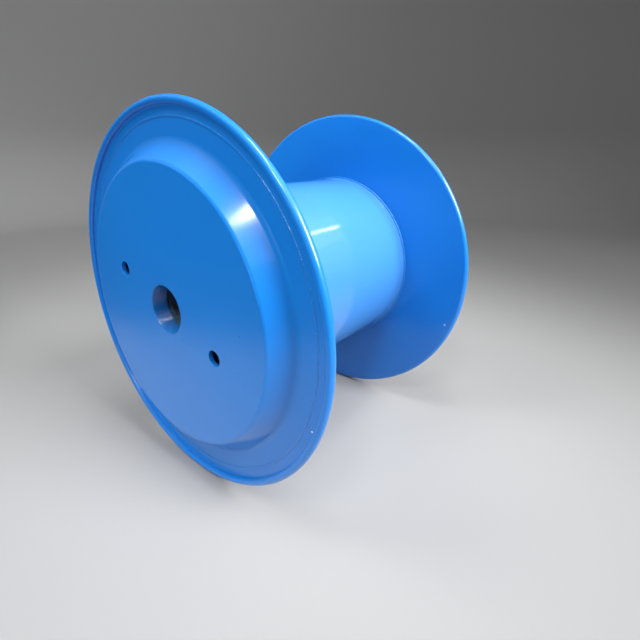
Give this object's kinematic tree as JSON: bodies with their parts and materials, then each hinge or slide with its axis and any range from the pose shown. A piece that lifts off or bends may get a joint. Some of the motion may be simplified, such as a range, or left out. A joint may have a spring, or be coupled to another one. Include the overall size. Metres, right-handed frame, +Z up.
{
  "type": "wire bobbin",
  "caption": "Pressed-steel wire bobbin with rolled flange rims, dished covers, hollow barrel, through bore and offset drive holes, in blue enamel.",
  "frame": {"origin": "on the floor below the middle of the bobbin, as it lies on its two flange rims", "axes": "+Y along the bobbin's axis from the front flange to the rear one, +Z up, +X to the right seen from the front"},
  "size_m": [1, 0.765, 1],
  "materials": {
    "blue_enamel": "gloss enamel over pressed steel",
    "bare_steel": "bare mill steel with light rust"
  },
  "bodies": {
    "root": {"barrel": "blue_enamel", "centre_tube": "bare_steel", "front_flange_disc": "blue_enamel", "rear_flange_disc": "blue_enamel", "front_cover": "blue_enamel", "rear_cover": "blue_enamel", "front_hub_ring": "blue_enamel", "rear_hub_ring": "blue_enamel", "front_drive_bush_right": "blue_enamel", "front_drive_bush_left": "blue_enamel", "rear_drive_bush_right": "blue_enamel", "rear_drive_bush_left": "blue_enamel"}
  },
  "joints": []
}
